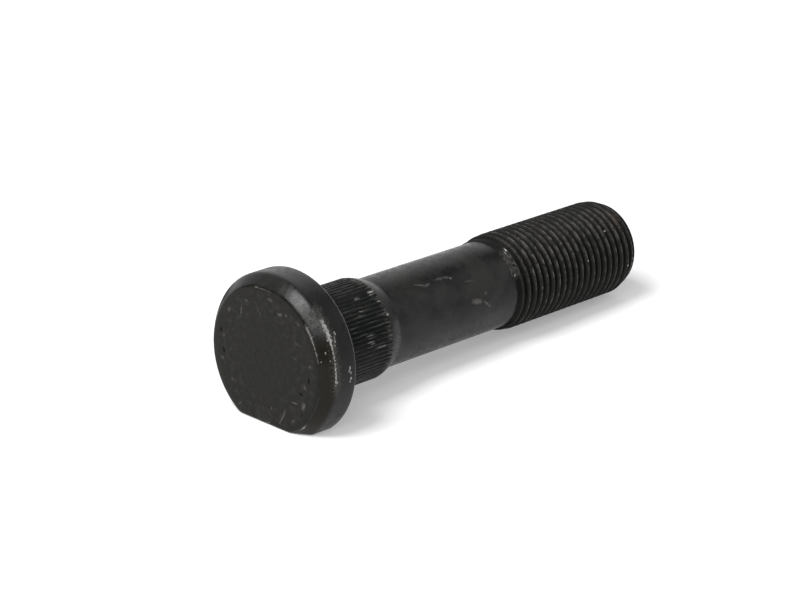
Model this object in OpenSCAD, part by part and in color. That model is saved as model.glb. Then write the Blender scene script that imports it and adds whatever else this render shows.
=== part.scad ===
// Wheel stud for a heavy axle hub, forged in one piece: a round head with one flat, a splined
// press-fit collar, a plain shank and a metric thread. It lies on its flat and its thread.

/* [Head] */
// Diameter of the round head
head_d = 36; // [30:0.2:42]
// Thickness of the head
head_h = 8.8; // [6:0.1:12]
// Radial width of the chamfer round the head's face
face_chamfer_w = 2.3; // [0.5:0.1:3.5]
// Axial height of the chamfer round the head's face
face_chamfer_h = 2.6; // [0.5:0.1:4]
// Width of the small edge break round the back of the head, along the flat too
rim_break_w = 0.6; // [0.2:0.1:1]
// Distance from the axis to the flat that keeps the head from turning
flat_dist = 13.9; // [13.2:0.1:17]

/* [Splined collar] */
// Diameter over the tops of the splines
collar_d = 22.4; // [21:0.1:24]
// Length of the splines, from the underside of the head
collar_len = 17.6; // [12:0.1:26]
// Number of splines
spline_count = 72; // [48:1:90]
// Width of the land left on top of each spline
spline_land_w = 0.18; // [0.1:0.01:0.3]
// Included angle of the groove between two splines, in degrees
spline_angle = 90; // [70:5:100]
// Length of the shoulder that leads from the shank up to the splines
lead_len = 3.4; // [1:0.1:5]
// Radius of the fillet between the head and the collar
neck_fillet_r = 0.8; // [0.3:0.1:1.2]

/* [Shank] */
// Diameter of the plain shank
shank_d = 20; // [19.6:0.1:20.8]
// Length of the whole stud, head included
stud_len = 108; // [90:0.5:150]

/* [Thread] */
// Outside diameter of the thread
thread_d = 22; // [21:0.5:24]
// Pitch of the thread
thread_pitch = 2; // [1.5:0.25:2.5]
// Length of the thread, from its end face
thread_len = 40; // [30:1:50]
// Radial width of the chamfer at the thread's end
end_chamfer_w = 1.1; // [0.5:0.1:2]
// Axial length of the chamfer at the thread's end
end_chamfer_len = 2.8; // [1:0.1:5]

/* [Hidden] */
$fn = 96;
// How far a cutting shape reaches past what it cuts
over = 1;

head_r = head_d / 2;
face_r = head_r - face_chamfer_w;
collar_r = collar_d / 2;
shank_r = shank_d / 2;
thread_r = thread_d / 2;

// Heights along the stud, from the head's face at 0
collar_end = head_h + collar_len;
shank_start = collar_end + lead_len;
thread_start = stud_len - thread_len;
chamfer_start = stud_len - end_chamfer_len;

// The chamfer, the round edge break and the shoulder are crowned: each is a zone of a ball whose
// middle lies on the axis, found from the two rings it passes through
function ball_middle(low_z, low_r, high_z, high_r) =
    (high_z ^ 2 + high_r ^ 2 - low_z ^ 2 - low_r ^ 2) / 2 / (high_z - low_z);
face_ball_z = ball_middle(0, face_r, face_chamfer_h, head_r);
face_ball_r = norm([face_r, face_ball_z]);
rim_ball_z = ball_middle(head_h - rim_break_w, head_r, head_h, head_r - rim_break_w);
rim_ball_r = norm([head_r, head_h - rim_break_w - rim_ball_z]);
lead_ball_z = ball_middle(collar_end, collar_r, shank_start, shank_r);
lead_ball_r = norm([collar_r, collar_end - lead_ball_z]);

// Splines: the land and the number of teeth leave a V groove, which sets its own depth
groove_w = 2 * PI * collar_r / spline_count - spline_land_w;
root_r = collar_r - groove_w / 2 / tan(spline_angle / 2);
spline_step = 360 / spline_count;
// The flanks run on past the lands, to half way to where they would meet
tip_rise = spline_land_w / 4 / tan(spline_angle / 2);
tip_r = collar_r + tip_rise;
tip_half_angle = spline_land_w / 4 / tip_r * 180 / PI;

// Metric thread form: a crest of an eighth of the pitch, a root of a quarter, flanks at 30 degrees
crest_w = thread_pitch / 8;
root_w = thread_pitch / 4;
flank_w = (thread_pitch - crest_w - root_w) / 2;
thread_root_r = thread_r - flank_w / tan(30);
ridge_count = floor(thread_len / thread_pitch);

// At rest the back edge of the flat and the last full crest touch the ground
flat_end = head_h - rim_break_w;
last_ridge = floor((chamfer_start - thread_start - root_w / 2 - flank_w - crest_w) / thread_pitch);
rest_crest = thread_start + last_ridge * thread_pitch + root_w / 2 + flank_w + crest_w;
rest_tilt = atan((flat_dist - thread_r) / (rest_crest - flat_end));
rest_lift = flat_end * sin(rest_tilt) + flat_dist * cos(rest_tilt);
// The stud's reach along the ground to each side of the middle of its face
reach_back = min(face_r, flat_dist) * sin(rest_tilt);
end_edge = stud_len * cos(rest_tilt) + (thread_r - end_chamfer_w) * sin(rest_tilt);
rim_edge = chamfer_start * cos(rest_tilt) + thread_r * sin(rest_tilt);
reach_front = max(end_edge, rim_edge);

// Outline of one ridge of the thread, standing on the roots on both sides of it
function ridge(start) = [
    [thread_root_r, start + root_w / 2],
    [thread_r, start + root_w / 2 + flank_w],
    [thread_r, start + root_w / 2 + flank_w + crest_w],
    [thread_root_r, start + thread_pitch - root_w / 2],
];

thread_outline = [
    for (turn = [0:ridge_count - 1])
        each ridge(thread_start + turn * thread_pitch)
];

// The head with its crowned chamfer and edge break
module head_section() {
    intersection() {
        square([head_r, head_h]);
        translate([0, face_ball_z])
            circle(r = face_ball_r);
        translate([0, rim_ball_z])
            circle(r = rim_ball_r);
    }
}

// The collar between the fillet under the head and the shoulder that leads down to the shank
module collar_section() {
    difference() {
        translate([0, head_h - over])
            square([collar_r + neck_fillet_r, over + neck_fillet_r]);
        translate([collar_r + neck_fillet_r, head_h + neck_fillet_r])
            circle(r = neck_fillet_r);
    }
    translate([0, head_h])
        square([collar_r, collar_len]);
    intersection() {
        translate([0, collar_end - over])
            square([collar_r, over + lead_len]);
        translate([0, lead_ball_z])
            circle(r = lead_ball_r);
    }
}

// The shank, and the thread inside the cone of its end chamfer
module shank_section() {
    polygon([[0, 0], [shank_r, 0], [shank_r, thread_start + root_w], [0, thread_start + root_w]]);
    intersection() {
        polygon(concat([[0, thread_start]], thread_outline, [[thread_root_r, stud_len], [0, stud_len]]));
        polygon([
            [0, 0],
            [thread_r + over, 0],
            [thread_r + over, chamfer_start - over * end_chamfer_len / end_chamfer_w],
            [thread_r - end_chamfer_w, stud_len],
            [0, stud_len],
        ]);
    }
}

// Everything outside the splines, as a flat ring with teeth on its inside
module spline_gaps() {
    difference() {
        circle(r = collar_r + over);
        polygon([
            for (tooth = [0:spline_count - 1])
                for (corner = [
                    [tip_r, -tip_half_angle],
                    [tip_r, tip_half_angle],
                    [root_r, spline_step / 2],
                ])
                    let (turn = tooth * spline_step + corner[1])
                    [corner[0] * cos(turn), corner[0] * sin(turn)]
        ]);
    }
}

// What the flat takes off the head, with the edge break along its back edge
module flat_cut() {
    past_back = neck_fillet_r / 2;
    translate([0, head_r + over, 0])
        rotate([90, 0, 0])
            linear_extrude(height = head_d + 2 * over)
                polygon([
                    [flat_dist, -over],
                    [flat_dist, flat_end],
                    [flat_dist - rim_break_w - past_back, head_h + past_back],
                    [head_r + over, head_h + past_back],
                    [head_r + over, -over],
                ]);
}

// The stud standing on the face of its head
module stud_upright() {
    difference() {
        rotate_extrude() {
            head_section();
            collar_section();
            shank_section();
        }
        translate([0, 0, head_h + neck_fillet_r])
            linear_extrude(height = collar_len - neck_fillet_r)
                spline_gaps();
        flat_cut();
    }
}

// The stud as it lies at rest, with its thread towards +X
module wheel_stud() {
    color([0.2, 0.2, 0.19])
        translate([(reach_back - reach_front) / 2, 0, rest_lift])
            rotate([0, 90 + rest_tilt, 0])
                stud_upright();
}

wheel_stud();
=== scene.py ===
import math

import bmesh
import bpy
from mathutils import Matrix, Vector


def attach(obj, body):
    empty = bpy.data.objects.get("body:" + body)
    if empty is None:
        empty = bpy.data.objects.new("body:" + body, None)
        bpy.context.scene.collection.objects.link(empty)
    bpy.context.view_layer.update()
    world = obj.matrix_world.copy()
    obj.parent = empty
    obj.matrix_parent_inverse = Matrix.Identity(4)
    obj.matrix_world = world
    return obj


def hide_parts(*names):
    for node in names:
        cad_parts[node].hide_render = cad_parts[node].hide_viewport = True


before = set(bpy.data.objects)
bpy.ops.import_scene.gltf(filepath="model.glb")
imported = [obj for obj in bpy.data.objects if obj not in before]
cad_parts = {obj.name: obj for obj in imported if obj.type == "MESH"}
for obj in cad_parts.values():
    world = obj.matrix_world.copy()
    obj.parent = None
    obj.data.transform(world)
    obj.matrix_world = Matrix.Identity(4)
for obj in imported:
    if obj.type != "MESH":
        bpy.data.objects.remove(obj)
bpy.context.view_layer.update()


# The head: a thick forged disc with a crowned chamfer round its face, a small edge break round
# its back and one flat that keeps the stud from turning. It is turned from one outline, the
# flat is sliced off, and every edge is a little round, as a tumbled forging's edges are.
mm = 0.001
head_radius = 18 * mm
head_height = 8.8 * mm
face_radius = 15.7 * mm
chamfer_height = 2.6 * mm
chamfer_ball_radius = 22.56 * mm
chamfer_ball_middle = 16.206 * mm
break_width = 0.6 * mm
flat_distance = 13.9 * mm
flat_end = head_height - break_width
neck_fillet = 0.8 * mm
collar_radius = 11.2 * mm
head_columns = 144
face_rounding = 0.35 * mm
rim_rounding = 0.5 * mm
back_rounding = 0.2 * mm
flat_rounding = 0.18 * mm
flat_snap = 0.04 * mm
same_spot = 0.001 * mm
same_ring = 0.01 * mm


def draw_line(shape, places):
    points = [shape.verts.new(place) for place in places]
    for first, second in zip(points, points[1:]):
        shape.edges.new((first, second))


def draw_outline(shape, outline):
    draw_line(shape, [(radius, 0, height) for radius, height in outline])


def turn_round(shape, columns, climb=0.0, in_copies=False):
    # turns a line once round the axis into a skin, which may climb along it as it goes, or sets
    # copies of the line round the axis
    bmesh.ops.spin(
        shape, geom=shape.verts[:] + shape.edges[:], cent=(0, 0, 0), axis=(0, 0, 1),
        dvec=(0, 0, climb / columns), angle=math.tau, steps=columns,
        use_merge=not (climb or in_copies), use_normal_flip=False, use_duplicate=in_copies,
    )
    bmesh.ops.remove_doubles(shape, verts=shape.verts, dist=same_spot)


def only(kind, parts):
    return [part for part in parts if isinstance(part, kind)]


def slice_off(shape, place, outwards, snap):
    # takes off what lies outside a plane, and gives the corners and edges of the cut
    cut = bmesh.ops.bisect_plane(
        shape, geom=shape.verts[:] + shape.edges[:] + shape.faces[:], dist=snap,
        plane_co=place, plane_no=outwards, clear_outer=True, clear_inner=False,
    )
    return cut["geom_cut"]


def round_edges(shape, edges, width, segments):
    bmesh.ops.bevel(
        shape, geom=edges, offset=width, offset_type="OFFSET", affect="EDGES",
        segments=segments, profile=0.5, clamp_overlap=True, material=-1,
    )


def across(point):
    return math.hypot(point.x, point.y)


def ring_at(shape, radius, height):
    return [
        edge for edge in shape.edges
        if all(abs(across(end.co) - radius) < same_ring and abs(end.co.z - height) < same_ring
               for end in edge.verts)
    ]


def chamfer_reach(height):
    # the chamfer bulges slightly: it is a zone of a ball whose middle lies on the axis
    return math.sqrt(chamfer_ball_radius ** 2 - (height - chamfer_ball_middle) ** 2)


# from the middle of the face: its rings, the chamfer, the rim, the back and the neck's fillet
head = bmesh.new()
draw_outline(
    head,
    [(radius * mm, 0) for radius in (0, 5, 10, 14)]
    + [(face_radius, 0)]
    + [(chamfer_reach(height * mm), height * mm) for height in (0.65, 1.3, 1.95)]
    + [(head_radius, height) for height in (chamfer_height, 4 * mm, 6.5 * mm, flat_end)]
    + [(radius, head_height) for radius in (head_radius - break_width, 16 * mm, 14 * mm)]
    + [
        (collar_radius + neck_fillet * (1 - math.sin(angle)),
         head_height + neck_fillet * (1 - math.cos(angle)))
        for angle in map(math.radians, (0, 30, 60, 90))
    ],
)
turn_round(head, head_columns)
round_edges(head, ring_at(head, face_radius, 0), face_rounding, 3)
round_edges(head, ring_at(head, head_radius, chamfer_height), rim_rounding, 3)
back_rings = (
    ring_at(head, head_radius, flat_end) + ring_at(head, head_radius - break_width, head_height)
)
round_edges(head, back_rings, back_rounding, 2)
for edge_point, outwards in (
    (Vector((flat_distance, 0, 0)), Vector((1, 0, 0))),
    (Vector((flat_distance, 0, flat_end)), Vector((1, 0, 1)).normalized()),
):
    cut = slice_off(head, edge_point, outwards, flat_snap)
    bmesh.ops.contextual_create(head, geom=only(bmesh.types.BMEdge, cut))
bmesh.ops.recalc_face_normals(head, faces=head.faces)
# the flat and its edge break are the two faces with the most corners
flat_faces = sorted(head.faces, key=lambda face: len(face.verts))[-2:]
flat_edges = list(dict.fromkeys(edge for face in flat_faces for edge in face.edges))
round_edges(head, flat_edges, flat_rounding, 2)


# The splined collar: 72 fine teeth rolled along the shank just under the head, pressed into the
# hub's hole. One tooth is drawn, repeated round the axis and drawn out along it, and the teeth
# run out on a short shoulder.
tooth_count = 72
spline_start = 9.75 * mm
first_ring_height = 10 * mm
run_out = 25.8 * mm
spline_end = 26.4 * mm
shoulder_end = 29.8 * mm
shoulder_ball_radius = 11.384 * mm
shoulder_ball_middle = 24.359 * mm
shank_radius = 10 * mm
# one tooth and the groove beside it, as degrees round the axis and millimetres from it
tooth = [
    (-0.55, 11.185), (0, 11.2), (0.55, 11.185), (2.1, 10.84), (2.5, 10.81), (2.9, 10.84),
    (4.45, 11.185),
]
collar_rings = [
    13 * mm, 18 * mm, 22 * mm, run_out, 26.05 * mm, 26.3 * mm, spline_end, 26.8 * mm, 27.3 * mm,
    27.8 * mm, 28.4 * mm, 29 * mm, 29.4 * mm, shoulder_end,
]


def shoulder_reach(height):
    # a zone of a ball, from the tops of the teeth down to the shank
    above = max(height, spline_end) - shoulder_ball_middle
    return math.sqrt(max(shoulder_ball_radius ** 2 - above ** 2, shank_radius ** 2))


collar = bmesh.new()
draw_line(collar, [
    (radius * mm * math.cos(math.radians(angle)), radius * mm * math.sin(math.radians(angle)),
     first_ring_height)
    for angle, radius in tooth
])
turn_round(collar, tooth_count, in_copies=True)


def draw_out(ring, height):
    drawn = bmesh.ops.extrude_edge_only(collar, edges=ring)["geom"]
    corners = only(bmesh.types.BMVert, drawn)
    for corner in corners:
        corner.co.z = height
    return corners, only(bmesh.types.BMEdge, drawn)


# the ring of teeth is drawn back to the round neck under the head, and then on to the shoulder
ring = collar.edges[:]
for corner in draw_out(ring, spline_start)[0]:
    corner.co.xy = corner.co.xy.normalized() * collar_radius
for height in collar_rings:
    corners, ring = draw_out(ring, height)
    # the grooves run out just before the smooth shoulder
    filled = min(max((height - run_out) / (spline_end - run_out), 0), 1)
    for corner in corners:
        reach = across(corner.co) * (1 - filled) + collar_radius * filled
        corner.co.xy = corner.co.xy.normalized() * min(reach, shoulder_reach(height))


# The shank: the plain round length between the collar and the thread, as smooth as the bar that
# the stud is forged from. It is turned from one straight line.
shank_start = 30.2 * mm
shank_end = 63.2 * mm
shank_rings = [shank_start, 36 * mm, 42 * mm, 48 * mm, 54 * mm, 60 * mm, shank_end]
shank_columns = 216
shank = bmesh.new()
draw_outline(shank, [(shank_radius, height) for height in shank_rings])
turn_round(shank, shank_columns)


# The thread: a rolled right-hand M22 thread of 2 mm pitch. Its outline is turned once round the
# axis while it climbs one pitch, so that each turn meets the next, and then it is held inside
# the run-in at the shank and the chamfer at the end.
pitch = 2 * mm
thread_columns = 216
thread_start = 64 * mm
stud_length = 108 * mm
crest_radius = 11 * mm
end_radius = 9.9 * mm
end_chamfer = 2.8 * mm
first_root = 60 * mm
turn_count = 26
thread_snap = 0.02 * mm
# from one root to the next, as millimetres climbed and millimetres from the axis
thread_profile = [
    (0, 9.773), (0.145, 9.812), (0.25, 9.917), (0.55, 10.437), (0.845, 10.948), (0.9, 10.99),
    (1.0, 11.0), (1.1, 10.99), (1.155, 10.948), (1.45, 10.437), (1.75, 9.917), (1.855, 9.812),
]
# the rolled blank stands a little proud of the shank in a land that ends at the first groove: it
# rises between two heights, and comes and goes between shares of a turn round the axis
land_rise = 0.3 * mm
land_starts = (66.2 * mm, 66.8 * mm)
land_comes = (0.1, 0.25)
land_goes = (0.675, 0.7)
# the first groove and crest grow between these turns, counted from the first root
groove_grows = (3.66, 3.78)
crest_rises = (4.0, 4.1)
crest_fills = (4.5, 5.6)
crest_rise_share = 0.72


def ramp(value, low, high):
    part = min(max((value - low) / (high - low), 0), 1)
    return part * part * (3 - 2 * part)


thread = bmesh.new()
draw_outline(thread, [
    (radius * mm, first_root + turn * pitch + climb * mm)
    for turn in range(turn_count) for climb, radius in thread_profile
])
turn_round(thread, thread_columns, climb=pitch)
for height, outwards in ((thread_start, -1), (stud_length, 1)):
    cut = slice_off(thread, (0, 0, height), (0, 0, outwards), thread_snap)
    for corner in only(bmesh.types.BMVert, cut):
        corner.co.z = height
for corner in thread.verts:
    height = corner.co.z
    turn = math.atan2(corner.co.y, corner.co.x) / math.tau % 1
    climb = (height - first_root) / pitch - turn
    groove_turns = round(climb) + turn
    crest_turns = math.floor(climb) + 0.5 + turn
    land = ramp(height, *land_starts) * ramp(turn, *land_comes) * (1 - ramp(turn, *land_goes))
    # crests stand above this level, and grooves lie below it
    level = shank_radius + land_rise * land
    reach = across(corner.co)
    if reach > level:
        grown = (
            crest_rise_share * ramp(crest_turns, *crest_rises)
            + (1 - crest_rise_share) * ramp(crest_turns, *crest_fills)
        )
        reach = level + (reach - level) * grown
    else:
        reach = level - (level - reach) * ramp(groove_turns, *groove_grows)
    into_chamfer = max(height - (stud_length - end_chamfer), 0) / end_chamfer
    reach = min(reach, crest_radius - (crest_radius - end_radius) * into_chamfer)
    corner.co.xy = corner.co.xy.normalized() * reach


# The whole stud: the four lengths are joined ring to ring into one closed skin, as one forging.
# At rest it lies on the back edge of its flat and on its last full crest, with the thread's end
# dipping a little, and the middle of its length over the origin.
end_rounding = 0.12 * mm
sharp_angle = math.radians(38)
# where the last full crest of the CAD solid ends, which is what it rests on
last_full_crest = 105.125 * mm
stud = bmesh.new()
for length in (head, collar, shank, thread):
    carried = bpy.data.meshes.new("length")
    length.to_mesh(carried)
    length.free()
    stud.from_mesh(carried)
    bpy.data.meshes.remove(carried)


def open_ring(height):
    return [
        edge for edge in stud.edges
        if edge.is_boundary and all(abs(end.co.z - height) < same_ring for end in edge.verts)
    ]


for lower, upper in (
    (head_height + neck_fillet, spline_start),
    (shoulder_end, shank_start),
    (shank_end, thread_start),
):
    bmesh.ops.bridge_loops(stud, edges=open_ring(lower) + open_ring(upper))
end_ring = open_ring(stud_length)
bmesh.ops.contextual_create(stud, geom=end_ring)
bmesh.ops.recalc_face_normals(stud, faces=stud.faces)
round_edges(stud, end_ring, end_rounding, 2)

tilt = math.atan((flat_distance - crest_radius) / (last_full_crest - flat_end))
lift = flat_end * math.sin(tilt) + flat_distance * math.cos(tilt)
back_end = flat_distance * math.sin(tilt)
front_end = stud_length * math.cos(tilt) + end_radius * math.sin(tilt)
at_rest = (
    Matrix.Translation(((back_end - front_end) / 2, 0, lift))
    @ Matrix.Rotation(math.radians(90) + tilt, 4, "Y")
)
bmesh.ops.transform(stud, matrix=at_rest, verts=stud.verts)
stud_mesh = bpy.data.meshes.new("dressed_stud")
stud.to_mesh(stud_mesh)
stud.free()
stud_mesh.polygons.foreach_set("use_smooth", [True] * len(stud_mesh.polygons))
stud_mesh.set_sharp_from_angle(angle=sharp_angle)
dressed_stud = bpy.data.objects.new("dressed_stud", stud_mesh)
bpy.context.collection.objects.link(dressed_stud)
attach(dressed_stud, "root")
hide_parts("wheel_stud")


# The finish: black phosphate, oiled. It is a satin near-black, a little dirtier in the grooves
# and darker there with painted shade, rubbed to grey on high edges and scuffed to bare steel
# where studs knock in the bin, with painted highlights and a painted sheen on some edges, crests
# and the chamfer.
black_finish = bpy.data.materials.new("black_finish")
black_finish.use_nodes = True
tree = black_finish.node_tree
black_shader = tree.nodes["Principled BSDF"]
black_shader.inputs["IOR"].default_value = 1.5
black_shader.inputs["Specular IOR Level"].default_value = 0.145
stud_mesh.materials.append(black_finish)


def feed(socket, term):
    # a socket takes another node's output or a plain value
    if isinstance(term, bpy.types.NodeSocket):
        socket.id_data.links.new(term, socket)
    else:
        socket.default_value = term


def place_node(home, kind, **inputs):
    node = home.nodes.new(kind)
    for name, term in inputs.items():
        feed(node.inputs[name.replace("_", " ")], term)
    return node


def node_beside(terms, kind):
    # places a node in the tree that its terms come from
    home = next(term.id_data for term in terms if isinstance(term, bpy.types.NodeSocket))
    return home.nodes.new(kind)


def work_out(operation, *terms):
    node = node_beside(terms, "ShaderNodeMath")
    node.operation = operation
    for socket, term in zip(node.inputs, terms):
        feed(socket, term)
    return node.outputs[0]


def squares(first, second):
    return work_out(
        "ADD", work_out("MULTIPLY", first, first), work_out("MULTIPLY", second, second)
    )


def all_of(first, *others):
    product = first
    for mask in others:
        product = work_out("MULTIPLY", product, mask)
    return product


def any_of(first, *others):
    strongest = first
    for mask in others:
        strongest = work_out("MAXIMUM", strongest, mask)
    return strongest


def blend(kind, terms, input_numbers, output_number):
    node = node_beside(terms, "ShaderNodeMix")
    node.data_type = kind
    for number, term in zip(input_numbers, terms):
        feed(node.inputs[number], term)
    return node.outputs[output_number]


def blend_colour(mask, under, over):
    return blend("RGBA", (mask, under, over), (0, 6, 7), 2)


def blend_value(mask, under, over):
    return blend("FLOAT", (mask, under, over), (0, 2, 3), 0)


def soft_step(value, low, high):
    node = node_beside([value], "ShaderNodeMapRange")
    node.interpolation_type = "SMOOTHSTEP"
    for socket, term in zip(node.inputs, (value, low, high)):
        feed(socket, term)
    return node.outputs[0]


def soft_drop(value, low, high):
    return work_out("SUBTRACT", 1, soft_step(value, low, high))


def between(value, low, high, soft):
    rise = soft_step(value, low - soft, low + soft)
    fall = soft_step(value, high - soft, high + soft)
    return work_out("SUBTRACT", rise, fall)


def held_back(mask, share):
    return work_out("MULTIPLY_ADD", mask, -share, 1)


def speckle(place, size, detail, roughness):
    noise = place_node(place.id_data, "ShaderNodeTexNoise", Vector=place, Scale=1 / size,
                       Detail=detail, Roughness=roughness)
    return noise.outputs["Fac"]


def new_group(name, inputs, output):
    group = bpy.data.node_groups.new(name, "ShaderNodeTree")
    for title in inputs:
        group.interface.new_socket(name=title, in_out="INPUT", socket_type="NodeSocketFloat")
    group.interface.new_socket(name=output, in_out="OUTPUT", socket_type="NodeSocketFloat")
    group_inputs = group.nodes.new("NodeGroupInput").outputs
    return group, group_inputs, group.nodes.new("NodeGroupOutput").inputs[output]


def use_group(group, **inputs):
    node = node_beside(inputs.values(), "ShaderNodeGroup")
    node.node_tree = group
    for name, term in inputs.items():
        feed(node.inputs[name.replace("_", " ")], term)
    return node.outputs[0]


# Places on the stud: its own frame, the way along it from its face, the distance from its axis,
# and the way round it, in radians, from its top towards the side that the photograph shows
own_frame = at_rest.inverted()
lying = place_node(tree, "ShaderNodeTexCoord").outputs["Object"]
place = place_node(tree, "ShaderNodeMapping", Vector=lying, Location=own_frame.to_translation(),
                   Rotation=own_frame.to_euler()).outputs[0]
axes = place_node(tree, "ShaderNodeSeparateXYZ", Vector=place).outputs
along = axes["Z"]
radius = work_out("SQRT", squares(axes["X"], axes["Y"]))
around = work_out(
    "ARCTAN2", work_out("MULTIPLY", axes["Y"], -1), work_out("MULTIPLY", axes["X"], -1)
)

# Grain, mottle and clouding of the finish, the lines of the tools along and round the stud, and
# what breaks worn edges up into chips
grain = speckle(place, 0.35 * mm, 3, 0.6)
mottle = speckle(place, 1.3 * mm, 3, 0.6)
cloud = speckle(place, 6 * mm, 2, 0.5)
drawn_out = place_node(tree, "ShaderNodeMapping", Vector=place, Scale=(1, 1, 0.12)).outputs[0]
lines_along = speckle(drawn_out, 0.4 * mm, 2, 0.6)
round_it = place_node(tree, "ShaderNodeCombineXYZ", X=along,
                      Y=work_out("MULTIPLY", around, 3 * mm)).outputs[0]
lines_round = speckle(round_it, 0.3 * mm, 2, 0.6)
chips = work_out("MULTIPLY_ADD", grain, 2.2, -1.1)

# The stretches of the stud, each with soft ends
on_face = soft_drop(along, 0.02 * mm, 0.2 * mm)
on_chamfer = all_of(between(along, 0.35 * mm, 2.5 * mm, 0.2 * mm),
                    soft_step(radius, 15.6 * mm, 16 * mm))
on_rim = all_of(between(along, 2.7 * mm, 9 * mm, 0.3 * mm),
                soft_step(radius, 16.6 * mm, 17.2 * mm))
on_collar = between(along, 9.2 * mm, 26.25 * mm, 0.2 * mm)
on_shoulder = between(along, 26.4 * mm, 30 * mm, 0.3 * mm)
on_land = between(along, 66.3 * mm, 68.1 * mm, 0.2 * mm)
on_thread = between(along, 67.5 * mm, 107.75 * mm, 0.2 * mm)
on_end = soft_step(along, 107.7 * mm, 107.9 * mm)

# Rub: how far the finish is worn off along a ring edge, broken up by chips
rub_group, rub_in, rub_out = new_group(
    "edge_rub", ("Along", "Radius", "Edge along", "Edge radius", "Width", "Chips"), "Rub"
)
away = work_out("SQRT", squares(
    work_out("SUBTRACT", rub_in["Along"], rub_in["Edge along"]),
    work_out("SUBTRACT", rub_in["Radius"], rub_in["Edge radius"]),
))
near_edge = work_out("SUBTRACT", 1, work_out("DIVIDE", away, rub_in["Width"]))
feed(rub_out, soft_step(work_out("ADD", near_edge, rub_in["Chips"]), 0.45, 0.85))


def rub(edge_along, edge_radius, width, edge_chips):
    return use_group(rub_group, Along=along, Radius=radius, Edge_along=edge_along,
                     Edge_radius=edge_radius, Width=width, Chips=edge_chips)


# Smear: a soft scuff at one place, measured as on the round of the shank
smear_group, smear_in, smear_out = new_group(
    "smear",
    ("Along", "Around", "Middle along", "Middle around", "Length", "Width", "Lean", "Breakup"),
    "Smear",
)
run = work_out("SUBTRACT", smear_in["Along"], smear_in["Middle along"])
turned_by = work_out("SUBTRACT", smear_in["Around"], smear_in["Middle around"])
sideways = work_out(
    "SUBTRACT", work_out("MULTIPLY", turned_by, shank_radius),
    work_out("MULTIPLY", run, smear_in["Lean"]),
)
span = squares(
    work_out("DIVIDE", run, smear_in["Length"]), work_out("DIVIDE", sideways, smear_in["Width"])
)
feed(smear_out, soft_step(work_out("SUBTRACT", smear_in["Breakup"], span), -0.1, 0.8))


def marks(measured, rows):
    # each row is a mark's middle along and round the stud, its length and width in millimetres,
    # its lean, its strength, and 1 where the fine grain breaks it up or 0 where the mottle does
    found = []
    for middle, degrees, length, width, lean, strength, ragged in rows:
        breakup = work_out("MULTIPLY_ADD", grain if ragged else mottle, 2.6, -0.5)
        mark = use_group(
            smear_group, Along=measured, Around=around, Middle_along=middle * mm,
            Middle_around=math.radians(degrees), Length=length * mm, Width=width * mm,
            Lean=lean, Breakup=breakup,
        )
        found.append(all_of(mark, strength))
    return any_of(*found)


# Scuffs on the shank, by their places along it
shank_scuffs = marks(along, (
    (39.5, 34, 2.2, 0.34, 0.35, 0.34, 0), (41.6, 38, 1.2, 0.34, -0.2, 0.3, 0),
    (46.6, 35.5, 2.6, 0.5, 0.1, 0.24, 0), (49.0, 39, 0.5, 0.35, 0, 0.8, 1),
    (53.5, 50, 1.6, 0.22, 0.1, 0.28, 1), (57.0, 71, 0.45, 0.35, 0, 0.4, 0),
    (54.4, 78, 2.4, 0.8, 0.15, 0.55, 0), (56.8, 83, 1.3, 0.4, 0.9, 0.5, 0),
    (58.0, 89, 0.35, 0.3, 0, 0.7, 1),
))

# Bright nicks: on the teeth, the rim and chamfer, and the thread; the two at the start of the
# first crest are a painted glint
nicks_and_painted_glint = marks(along, (
    (20.8, 30, 1.1, 0.12, 0, 0.38, 1), (21.3, 27, 0.8, 0.1, 0, 0.25, 1),
    (19.8, 45, 0.8, 0.12, 0.2, 0.38, 1), (19.2, 48, 0.5, 0.1, 0.1, 0.25, 1),
    (25.6, 26, 1.0, 0.22, 0, 0.75, 1), (24.9, 30, 0.8, 0.14, 0, 0.35, 1),
    (25.8, 40, 0.7, 0.2, 0, 0.5, 1), (26.3, 57, 0.4, 0.3, 0, 0.5, 1),
    (20.3, 73, 1.5, 0.14, 0, 0.4, 1), (19.9, 76, 1.2, 0.12, 0, 0.4, 1),
    (19.8, 80, 1.0, 0.14, 0, 0.4, 1), (20.6, 83, 0.8, 0.12, 0, 0.35, 1),
    (19.6, 86, 0.9, 0.12, 0, 0.35, 1), (23.0, 89, 2.4, 0.12, 0, 0.3, 1),
    (4.4, 59, 0.35, 0.3, 0, 0.5, 1), (4.0, 61.5, 0.2, 0.2, 0, 0.5, 1),
    (3.8, 64, 0.3, 0.25, 0, 0.4, 1), (3.5, 67, 0.2, 0.2, 0, 0.4, 1),
    (6.6, 84, 0.25, 0.28, 0, 0.75, 1), (6.3, 86, 0.2, 0.2, 0, 0.6, 1),
    (6.8, 87.5, 0.2, 0.24, 0, 0.6, 1), (6.9, 91.5, 0.3, 0.24, 0, 0.7, 1),
    (6.7, 93.5, 0.2, 0.2, 0, 0.6, 1), (3.0, 91, 0.2, 0.2, 0, 0.5, 1),
    (1.4, 70, 0.15, 0.2, 0, 0.6, 1), (0.5, 75.5, 0.1, 0.12, 0, 0.5, 1),
    (1.9, 75.8, 0.12, 0.14, 0, 0.6, 1), (0.5, 137, 0.16, 0.9, 0, 0.5, 1),
    # the first two marks on this line are a painted glint at the start of the first crest
    (68.1, 28, 0.2, 0.65, -0.3, 0.9, 1), (67.6, 31, 0.14, 0.5, -0.3, 0.5, 1),
    (66.9, 62, 0.3, 0.3, 0, 0.7, 1), (90.5, 73.5, 0.3, 0.28, 0, 0.8, 1),
    (99.7, 45.5, 0.24, 0.24, 0, 0.5, 1), (98.5, 36, 0.2, 0.2, 0, 0.4, 1),
    (104.6, 97, 0.25, 0.35, 0, 0.9, 1), (105.0, 102, 0.25, 0.3, 0, 0.8, 1),
    (101.4, 117, 0.3, 0.5, 0, 0.7, 1), (101.6, 129, 0.3, 0.3, 0, 0.7, 1),
))

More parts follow.
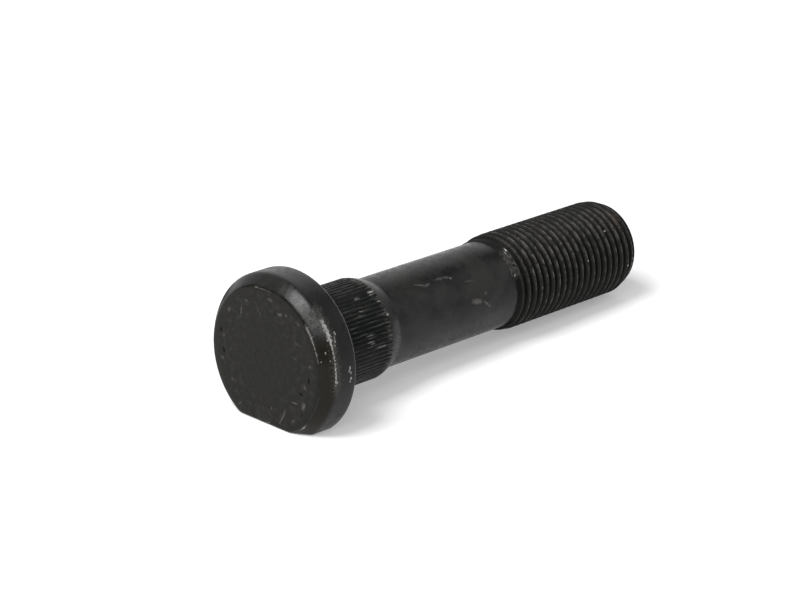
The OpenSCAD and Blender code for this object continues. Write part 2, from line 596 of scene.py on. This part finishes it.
# Nicks and dents scattered round the outer part of the face, raised grey and sunk dark, by their
# distances from its middle
raised = all_of(on_face, marks(radius, (
    (15.45, -11, 0.2, 0.5, 0, 1, 1), (15.3, -5, 0.13, 0.9, 0, 0.7, 1),
    (15.2, 2, 0.12, 0.8, 0, 0.6, 1), (13.6, 175, 0.18, 0.6, 0, 0.8, 1),
    (13.6, -54, 0.4, 0.7, 0.2, 0.45, 1), (11.4, -40, 1.3, 0.3, 0.8, 0.45, 1),
    (12.9, -27, 0.4, 0.35, 0, 0.45, 1), (10.2, -12, 0.9, 0.25, -0.9, 0.3, 1),
    (13.5, 5, 0.4, 0.8, 0.2, 0.4, 1), (11.8, 20, 0.6, 0.6, 0.4, 0.6, 1),
    (12.8, 27, 0.3, 0.4, 0, 0.5, 1), (14.1, 42, 0.4, 0.5, 0.2, 0.3, 1),
    (11.2, 57, 0.7, 0.25, 0.9, 0.3, 1), (13.2, 80, 0.5, 0.4, -0.3, 0.35, 1),
    (12.0, 103, 0.6, 0.4, 0.5, 0.45, 1), (13.3, 121, 0.7, 0.9, 0.4, 0.55, 1),
    (11.2, 128, 1.0, 0.35, -0.7, 0.45, 1), (13.9, 142, 0.4, 0.6, 0, 0.4, 1),
    (12.2, 153, 1.7, 0.34, 1, 0.55, 1), (10.3, 168, 0.6, 0.3, 0.1, 0.4, 1),
    (12.6, -81, 0.4, 0.6, 0, 0.3, 1), (13.2, -104, 0.7, 0.4, 0.3, 0.35, 1),
    (12.1, -126, 0.5, 0.5, 0, 0.3, 1), (14.0, -148, 0.7, 0.25, 0.2, 0.3, 1),
    (9.2, 72, 0.5, 0.25, 0.8, 0.3, 1), (7.2, -60, 0.7, 0.2, 0.5, 0.25, 1),
    (5.4, 128, 0.5, 0.2, 1.2, 0.2, 1),
)))
sunk = all_of(on_face, marks(radius, (
    (13.5, -77, 0.8, 0.5, 0.3, 1, 1), (12.4, -96, 0.5, 0.9, 0.2, 1, 1),
    (11.2, 14, 0.3, 0.5, 0, 0.7, 1), (13.6, -19, 0.25, 0.6, 0.3, 0.8, 1),
    (12.9, 93, 0.4, 0.9, 0.3, 1, 1), (11.6, 112, 0.9, 0.5, -0.2, 1, 1),
    (14.2, 128, 0.25, 0.5, 0, 0.8, 1), (10.7, 66, 0.25, 0.5, 0.4, 0.6, 1),
    (12.4, -45, 0.3, 0.4, -0.4, 0.7, 1), (10.9, 144, 0.3, 0.25, 0, 0.7, 1),
)))
scuffed = any_of(work_out("MINIMUM", work_out("MULTIPLY", shank_scuffs, 1.5), 1), raised)

# Oily streaks on the back of the rim, and rust near the thread's end
oily_streaks = marks(along, (
    (7.3, 57, 0.35, 0.7, 0, 0.8, 0), (7.5, 66, 0.3, 1.1, 0.1, 0.8, 0),
    (7.7, 75, 0.25, 0.8, 0, 0.6, 0),
))
rusty = all_of(on_thread, soft_step(grain, 0.42, 0.58), marks(along, (
    (104.9, 38, 1.2, 4, 0, 0.9, 0), (103.2, 47, 0.6, 2, 0, 0.6, 0), (99, 60, 0.5, 2, 0, 0.4, 0),
)))

# Edges where the finish is rubbed through: the rim and the face's edge on the side that was
# knocked, the back of the rim, where the lighter rub is also a painted highlight along the edge,
# the chamfer at the thread's end, and chips along the crests
knocked = between(around, 0.86, 1.62, 0.06)
rim_width = blend_value(soft_step(around, 1.05, 1.2), 0.9 * mm, 0.36 * mm)
rim_rub = all_of(knocked, rub(chamfer_height, head_radius, rim_width, chips),
                 held_back(soft_step(around, 1.15, 1.3), 0.45))
rim_dust = all_of(between(around, 0.66, 1.75, 0.1),
                  rub(3 * mm, head_radius, 1.7 * mm, work_out("MULTIPLY", chips, 1.6)), 0.35)
face_width = blend_value(soft_step(around, 0.98, 1.08), 0.55 * mm, 0.3 * mm)
face_rub = all_of(between(around, 0.83, 1.3, 0.06),
                  rub(0.05 * mm, face_radius, face_width, chips), 0.3)
# the back of the rim: rubbed finish with a painted highlight along its edge
back_rub_and_highlight = all_of(rub(8.45 * mm, 17.75 * mm, 0.9 * mm, work_out("MULTIPLY", chips, 0.5)),
                  blend_value(between(around, -0.1, 1.25, 0.25), 0.35, 0.95))
end_chips = work_out("MULTIPLY_ADD", chips, 1.3, -0.45)
end_rub = all_of(rub(106.8 * mm, 10.4 * mm, 1.1 * mm, end_chips), 0.4,
                 blend_value(between(around, 1.3, 2.4, 0.4), 0.35, 1))
crest_chips = all_of(on_thread, soft_step(radius, 10.86 * mm, 10.96 * mm),
                     soft_step(grain, 0.68, 0.76), 0.45)
bare = any_of(rim_rub, face_rub, all_of(nicks_and_painted_glint, 0.8), crest_chips, end_rub)
# a patch of the chamfer is polished through, which gives it a mottled sheen; the lighter grey
# laid on it is a painted sheen
polish_and_sheen = all_of(on_chamfer, between(around, 0.2, 1.0, 0.12),
                  soft_step(blend_value(0.5, mottle, grain), 0.38, 0.6))


# The colour of the finish, laid on in coats: the oiled black first, and dirt, wear and painted
# light and shade last
def coat(under, *coats):
    colour = under
    for mask, over in coats:
        colour = blend_colour(mask, colour, over)
    return colour


oiled_black = (0.0095, 0.0098, 0.0095, 1)
dry_black = (0.021, 0.021, 0.02, 1)
mottled_grey = (0.03, 0.0295, 0.0285, 1)
colour = coat(
    blend_colour(soft_step(cloud, 0.36, 0.64), oiled_black, dry_black),
    (all_of(soft_step(mottle, 0.5, 0.7), 0.3), mottled_grey),
)

# the face is a little warm, and greyer where it was handled
warm_dark = (0.0064, 0.006, 0.0042, 1)
warm_light = (0.0108, 0.0102, 0.0076, 1)
handled_grey = (0.028, 0.027, 0.024, 1)
handled = all_of(on_face, between(radius, 8.6 * mm, 14.6 * mm, 0.9 * mm),
                 soft_step(blend_value(0.3, mottle, grain), 0.5, 0.64))
colour = coat(
    colour,
    (on_face, blend_colour(soft_step(mottle, 0.38, 0.66), warm_dark, warm_light)),
    (all_of(handled, 0.5), handled_grey),
)

# the collar is greenish, with fine lighter lines along the tops of its teeth
greenish_black = (0.0052, 0.0066, 0.0056, 1)
line_grey = (0.042, 0.045, 0.04, 1)
tooth_tops = soft_step(radius, 10.95 * mm, 11.15 * mm)
colour = coat(
    colour,
    (on_collar, greenish_black),
    (all_of(on_collar, tooth_tops, soft_step(lines_along, 0.5, 0.68)), line_grey),
)

# the end face was sheared and turned: faint rings round its middle, as dark as the shank
end_dark = (0.009, 0.009, 0.0085, 1)
end_light = (0.026, 0.0258, 0.0245, 1)
ring_step = 0.7 * mm
turned_rings = work_out("SINE", work_out("MULTIPLY", radius, math.tau / ring_step))
end_mottle = work_out("MULTIPLY_ADD", turned_rings, 0.12, mottle)
colour = coat(colour, (on_end, blend_colour(end_mottle, end_dark, end_light)))

# the lower part of the chamfer is brown with old oil, and the rim is painted lighter towards the
# top and darker below, as painted light and shade
old_oil = (0.0118, 0.0102, 0.0068, 1)
rim_painted_shade = (0.009, 0.0092, 0.0086, 1)
rim_painted_light = (0.036, 0.0365, 0.036, 1)
colour = coat(
    colour,
    (all_of(on_chamfer, between(around, 1.08, 2.4, 0.15)), old_oil),
    (all_of(on_rim, blend_value(mottle, 0.75, 1)),
     blend_colour(soft_drop(around, 0.2, 0.75), rim_painted_shade, rim_painted_light)),
)

# the teeth are worn at their ends
worn_teeth = (0.09, 0.09, 0.085, 1)
tooth_ends = all_of(between(along, 25.2 * mm, 26.5 * mm, 0.5 * mm),
                    soft_step(lines_along, 0.42, 0.6), 0.6)
colour = coat(colour, (tooth_ends, worn_teeth))

# the thread's crests are streaked and worn, most of all on the first turns, with painted
# highlights on them, and its grooves are nearly black with oil and dirt and with painted shade
smooth_dark = (0.009, 0.0088, 0.008, 1)
smooth_light = (0.024, 0.0235, 0.0215, 1)
streak_dark = (0.0095, 0.0092, 0.0082, 1)
streak_wear_and_highlight = (0.05, 0.048, 0.042, 1)
worn_crest_and_highlight = (0.16, 0.157, 0.145, 1)
groove_dirt_and_shade = (0.0022, 0.0021, 0.0018, 1)
streaked = soft_step(blend_value(0.45, mottle, lines_round), 0.42, 0.6)
# the crests on the side facing the lamps are streaked lighter: streaked wear with a painted
# highlight over it
crest_colour = blend_colour(
    between(around, 0.3, 1.15, 0.35),
    blend_colour(mottle, smooth_dark, smooth_light),
    blend_colour(streaked, streak_dark, streak_wear_and_highlight),
)
first_turns = soft_drop(along, 76 * mm, 88 * mm)
# thin light lines along the crest tops: crest wear and a painted highlight, strongest on the
# first turns
crest_wear_and_highlight = all_of(
    on_thread, soft_step(radius, 10.88 * mm, 10.98 * mm), soft_step(mottle, 0.45, 0.62),
    blend_value(first_turns, 0.26, 0.5),
)
facing_up = soft_drop(around, 0.3, 0.9)
# the grooves are darkened with oil and dirt and with painted shade, less towards the top and far
# round the side
in_groove = all_of(
    on_thread, soft_drop(radius, 10.3 * mm, 10.8 * mm), held_back(facing_up, 0.3),
    held_back(soft_step(around, 1.4, 2.0), 0.45),
)
colour = coat(
    colour,
    (on_thread, crest_colour),
    (crest_wear_and_highlight, worn_crest_and_highlight),
    (in_groove, groove_dirt_and_shade),
)

# the land before the thread: darker above, a painted shade over its lit step, worn to grey and
# mottled below the first turn's start, with a dark wedge of painted shade where the first groove
# sinks in
land_top_painted_shade = (0.007, 0.0072, 0.007, 1)
worn_land = (0.075, 0.073, 0.066, 1)
wedge_painted_shade = (0.002, 0.002, 0.0016, 1)
land_top = all_of(on_land, soft_drop(around, 0.3, 0.5))
land_worn = all_of(on_land, between(around, 0.48, 1.14, 0.08), soft_step(lines_round, 0.42, 0.6),
                   0.75)
wedge = all_of(between(along, 66.5 * mm, 67.9 * mm, 0.2 * mm), between(around, 1.14, 1.42, 0.06),
               0.85)
colour = coat(colour, (land_top, land_top_painted_shade), (land_worn, worn_land), (wedge, wedge_painted_shade))

# the shoulder is painted lighter above and darker below, as painted light and shade
shoulder_painted_shade = (0.011, 0.0108, 0.01, 1)
shoulder_painted_light = (0.06, 0.0605, 0.06, 1)
colour = coat(colour, (
    all_of(on_shoulder, soft_drop(around, 1.3, 1.7)),
    blend_colour(soft_drop(around, 0.15, 1.15), shoulder_painted_shade, shoulder_painted_light),
))

# dirt, oil, rust and wear lie over all of it, with painted highlights and a painted sheen among
# them
pit_dirt = (0.0015, 0.0015, 0.0012, 1)
wet_oil = (0.002, 0.002, 0.002, 1)
rust = (0.05, 0.03, 0.018, 1)
scuff_grey = (0.125, 0.119, 0.11, 1)
dust_grey = (0.12, 0.118, 0.11, 1)
rubbed_grey_and_highlight = (0.24, 0.24, 0.235, 1)
bare_steel = (0.7, 0.69, 0.66, 1)
painted_sheen_grey = (0.08, 0.08, 0.077, 1)
colour = coat(
    colour,
    (all_of(sunk, 0.9), pit_dirt),
    (oily_streaks, wet_oil),
    (rusty, rust),
    (scuffed, scuff_grey),
    (rim_dust, dust_grey),
    (back_rub_and_highlight, rubbed_grey_and_highlight),
    (bare, bare_steel),
    (all_of(polish_and_sheen, 0.5), painted_sheen_grey),
)
feed(black_shader.inputs["Base Color"], colour)

# the pits in the face hold black dirt that gives back almost nothing, as a black metal does
feed(black_shader.inputs["Metallic"], any_of(bare, all_of(polish_and_sheen, 0.075), sunk))

# Roughness: satin as a whole, and duller on the thread, on scuffs, under dirt, and on the far
# side of the head's edges
satin = blend_value(soft_step(mottle, 0.35, 0.65), 0.24, 0.38)
turned_away = all_of(any_of(on_chamfer, on_rim), soft_drop(around, -1.05, -0.6))
rim_top = all_of(on_rim, soft_drop(around, -0.5, -0.15))
for mask, roughness in (
    (on_thread, blend_value(soft_step(around, -0.3, 0.3), 0.75, 0.5)),
    (scuffed, 0.6),
    (any_of(in_groove, land_top), 0.8),
    (on_chamfer, 0.24),
    (turned_away, 0.85),
    (rim_top, 0.55),
    (bare, 0.36),
):
    satin = blend_value(mask, satin, roughness)
feed(black_shader.inputs["Roughness"], satin)

# Relief: the forging's skin, the dents and nicks, a faint ring round the middle of the face, and
# the rings on the end face
face_ring = all_of(on_face, between(radius, 2 * mm, 3.1 * mm, 0.3 * mm))
end_rings = all_of(on_end, turned_rings)
relief = work_out("MULTIPLY_ADD", mottle, 1.4, grain)
for mark, rise in ((sunk, -3), (raised, 1.2), (face_ring, -0.6), (end_rings, 0.4)):
    relief = work_out("MULTIPLY_ADD", mark, rise, relief)
bump = place_node(tree, "ShaderNodeBump", Strength=0.33, Distance=0.06 * mm, Height=relief)
feed(black_shader.inputs["Normal"], bump.outputs[0])


# The floor: a plain matt pale sheet under the stud, which is part of the studio and not of the
# object. Seen or mirrored it is white, and only the stud's own shadow darkens it.
floor_half_width = 4
floor_colour = (0.8, 0.8, 0.8, 1)
floor_glow = 0.3
floor_shape = bmesh.new()
bmesh.ops.create_grid(floor_shape, x_segments=1, y_segments=1, size=floor_half_width)
floor_mesh = bpy.data.meshes.new("floor")
floor_shape.to_mesh(floor_mesh)
floor_shape.free()
floor = bpy.data.objects.new("floor", floor_mesh)
bpy.context.collection.objects.link(floor)
floor_paint = bpy.data.materials.new("floor_paint")
floor_paint.use_nodes = True
floor_mesh.materials.append(floor_paint)
floor_tree = floor_paint.node_tree
floor_shader = floor_tree.nodes["Principled BSDF"]
floor_shader.inputs["Base Color"].default_value = floor_colour
floor_shader.inputs["Roughness"].default_value = 0.9
floor_shader.inputs["Specular IOR Level"].default_value = 0
floor_ray = place_node(floor_tree, "ShaderNodeLightPath").outputs
shown = any_of(floor_ray["Is Camera Ray"], floor_ray["Is Glossy Ray"],
               floor_ray["Is Transmission Ray"])
glow = place_node(floor_tree, "ShaderNodeEmission",
                  Strength=work_out("MULTIPLY", shown, floor_glow))
both = floor_tree.nodes.new("ShaderNodeAddShader")
feed(both.inputs[0], floor_shader.outputs[0])
feed(both.inputs[1], glow.outputs[0])
feed(floor_tree.nodes["Material Output"].inputs["Surface"], both.outputs[0])


# The studio: a white backdrop behind and beside the stud, a dim room above and in front of it,
# and a softbox with a dimmer panel beside it, high on the side of the head.
room_grey = (0.15, 0.15, 0.15, 1)
backdrop_white = (0.8, 0.8, 0.79, 1)
wall_white = (0.85, 0.85, 0.85, 1)
backdrop_towards = (0.447, 0.844, 0.298)
wall_towards = (0.69, -0.65, 0.32)
lamp_distance = 2
lamps_aim = Vector((-0.05, 0, 0))
world = bpy.data.worlds.new("studio")
bpy.context.scene.world = world
world.use_nodes = True
sky = world.node_tree
way = place_node(sky, "ShaderNodeTexCoord").outputs["Generated"]


def patch_of_room(towards, edge, full):
    # a soft-edged round patch of the room, in one direction
    facing = sky.nodes.new("ShaderNodeVectorMath")
    facing.operation = "DOT_PRODUCT"
    feed(facing.inputs[0], way)
    feed(facing.inputs[1], towards)
    return soft_step(facing.outputs["Value"], edge, full)


backdrop = patch_of_room(backdrop_towards, 0.64, 0.96)
wall = patch_of_room(wall_towards, 0.7, 0.95)
room = blend_colour(wall, blend_colour(backdrop, room_grey, backdrop_white), wall_white)
# the camera sees white all round, and so does what is mirrored from the backdrop's side
ray = place_node(sky, "ShaderNodeLightPath").outputs
mirrored = all_of(backdrop, any_of(ray["Is Glossy Ray"], ray["Is Transmission Ray"]))
seen = any_of(ray["Is Camera Ray"], mirrored)
feed(sky.nodes["Background"].inputs["Color"], blend_colour(seen, room, (1, 1, 1, 1)))

for name, towards, side, power in (
    ("softbox", Vector((-0.52, 0.03, 0.85)).normalized(), 0.85, 36),
    ("fill_panel", Vector((-0.62, -0.42, 0.67)).normalized(), 0.9, 10),
):
    lamp = bpy.data.lights.new(name, "AREA")
    lamp.size = side
    lamp.energy = power
    panel = bpy.data.objects.new(name, lamp)
    panel.matrix_world = (
        Matrix.Translation(towards * lamp_distance + lamps_aim)
        @ towards.to_track_quat("Z", "Y").to_matrix().to_4x4()
    )
    bpy.context.collection.objects.link(panel)


# The camera: it stands where the photograph was taken from, above the stud and beside its head.
# Its place, its turn and its lens were fitted to the stud's outline in the photograph.
camera_place = (-0.410235, -0.375415, 0.234145)
forward = Vector((0.6742, 0.6388, -0.37066)).normalized()
rightwards = Vector((0.69091, -0.72286, 0.01093))
lens = bpy.data.cameras.new("camera")
lens.lens = 123.10
lens.sensor_width = 36
lens.sensor_fit = "HORIZONTAL"
lens.clip_start = 0.01
camera = bpy.data.objects.new("camera", lens)
up = rightwards.cross(forward).normalized()
right = forward.cross(up).normalized()
camera_turn = Matrix((right, up, -forward)).transposed().to_4x4()
camera.matrix_world = Matrix.Translation(camera_place) @ camera_turn
bpy.context.collection.objects.link(camera)
bpy.context.scene.camera = camera
bpy.context.scene.view_settings.view_transform = "Standard"
